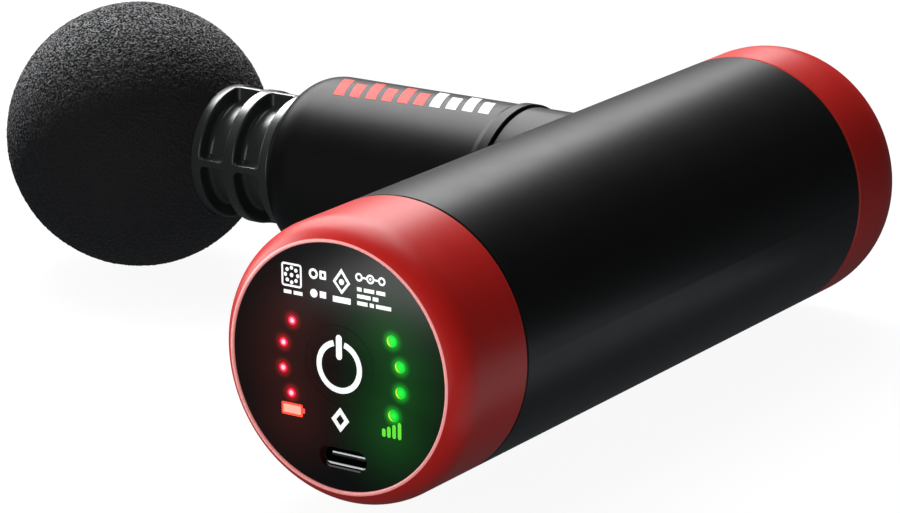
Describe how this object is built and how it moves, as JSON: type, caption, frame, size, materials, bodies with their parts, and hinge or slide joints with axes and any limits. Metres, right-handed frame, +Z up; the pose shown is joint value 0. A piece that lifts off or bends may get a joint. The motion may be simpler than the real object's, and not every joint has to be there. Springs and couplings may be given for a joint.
{
  "type": "massage gun",
  "caption": "Cordless T-shaped massage gun: round handle with rounded end caps, a control panel on one end, and a side head that drives a foam ball on a ribbed neck.",
  "frame": {"origin": "middle of the outline, on the surface that the gun lies on", "axes": "+Z up as it lies; the head's axis is X with the ball towards -X; the handle's axis is Y with the control panel facing -Y"},
  "size_m": [0.167, 0.1464, 0.0515],
  "materials": {
    "barrel_black": "matte soft-touch paint",
    "cap_red": "satin",
    "panel_gloss": "gloss",
    "neck_black": "semi-gloss moulded",
    "foam": "fine-cell foam",
    "clear_lens": "frosted",
    "rubber_black": "matte",
    "board_green": "solder mask",
    "chip_black": "moulded",
    "led_white": "gloss",
    "natural_plastic": "natural",
    "grey_plastic": "satin",
    "steel": "machined",
    "screw_steel": "blackened",
    "alloy": "machined",
    "cell_wrap": "shrink sleeve over metal can",
    "nickel": "bright",
    "paper": "fibre paper",
    "copper": "enamelled wire",
    "wire_jacket": "silicone",
    "laminations": "stacked steel",
    "magnet": "nickel plated",
    "shell_steel": "bright plated"
  },
  "bodies": {
    "handle": {"handle_barrel": "barrel_black", "front_cap": "cap_red", "rear_cap": "cap_red", "control_panel": "panel_gloss", "panel_gasket": "rubber_black", "battery_light_pipes": "clear_lens", "speed_light_pipes": "clear_lens", "battery_light_chips": "led_white", "speed_light_chips": "led_white", "switch_body": "chip_black", "usb_c_shell": "shell_steel", "usb_c_tongue": "chip_black", "main_pcb": "board_green", "pcb_screws": "screw_steel", "control_chips": "chip_black", "driver_transistors": "chip_black", "filter_capacitors": "alloy", "motor_connector": "natural_plastic", "motor_leads": "wire_jacket", "battery_leads": "wire_jacket", "battery_cells": "cell_wrap", "cell_insulators": "paper", "nickel_strips": "nickel", "battery_tray": "grey_plastic", "battery_pads": "rubber_black", "motor_bracket": "alloy", "bracket_screws": "screw_steel", "bearing_outer_rings": "steel", "stator_core": "laminations", "stator_windings": "copper", "head_housing": "barrel_black", "joint_gasket": "rubber_black", "head_screws": "screw_steel", "guide_sleeve": "natural_plastic", "wiper_ring": "rubber_black"},
    "rotor": {"rotor_bell": "steel", "rotor_magnets": "magnet", "motor_shaft": "steel", "crank_wheel": "steel", "wheel_set_screw": "screw_steel", "bearing_inner_rings": "steel"},
    "bearing_cages": {"bearing_balls": "steel"},
    "piston": {"piston": "alloy", "wrist_pin": "steel"},
    "rod": {"connecting_rod": "alloy", "small_end_bush": "copper", "big_end_bearing": "steel", "crank_pin": "steel", "crank_pin_clip": "screw_steel"},
    "attachment_seat": {"stem_o_ring": "rubber_black"},
    "attachment": {"attachment_neck": "neck_black", "foam_ball": "foam"},
    "power_button": {"power_button": "panel_gloss", "switch_stem": "chip_black"}
  },
  "joints": [
    {"name": "rotor_spin", "type": "hinge", "parent": "handle", "child": "rotor", "pos_m": [0.05948, 0.0308, 0.02575], "axis": [0, 1, 0], "continuous": true},
    {"name": "cage_spin", "type": "hinge", "parent": "handle", "child": "bearing_cages", "pos_m": [0.05948, 0.0402, 0.02575], "axis": [0, 1, 0], "continuous": true},
    {"name": "piston_stroke", "type": "slide", "parent": "handle", "child": "piston", "axis": [-1, 0, 0], "range_m": [0, 0.008]},
    {"name": "rod_swing", "type": "hinge", "parent": "piston", "child": "rod", "pos_m": [0.03347, 0.02495, 0.02575], "axis": [0, 1, 0], "range_deg": [-7.66, 7.66]},
    {"name": "attachment_pull", "type": "slide", "parent": "piston", "child": "attachment_seat", "axis": [-1, 0, 0], "range_m": [0, 0.03]},
    {"name": "attachment_turn", "type": "hinge", "parent": "attachment_seat", "child": "attachment", "pos_m": [0.00347, 0.02495, 0.02575], "axis": [-1, 0, 0], "continuous": true},
    {"name": "power_button_press", "type": "slide", "parent": "handle", "child": "power_button", "axis": [0, 1, 0], "range_m": [0, 0.00035], "stiffness_N_per_m": 1500}
  ],
  "couplings": [
    {"joint": "cage_spin", "follows": "rotor_spin", "ratio": 0.374}
  ]
}
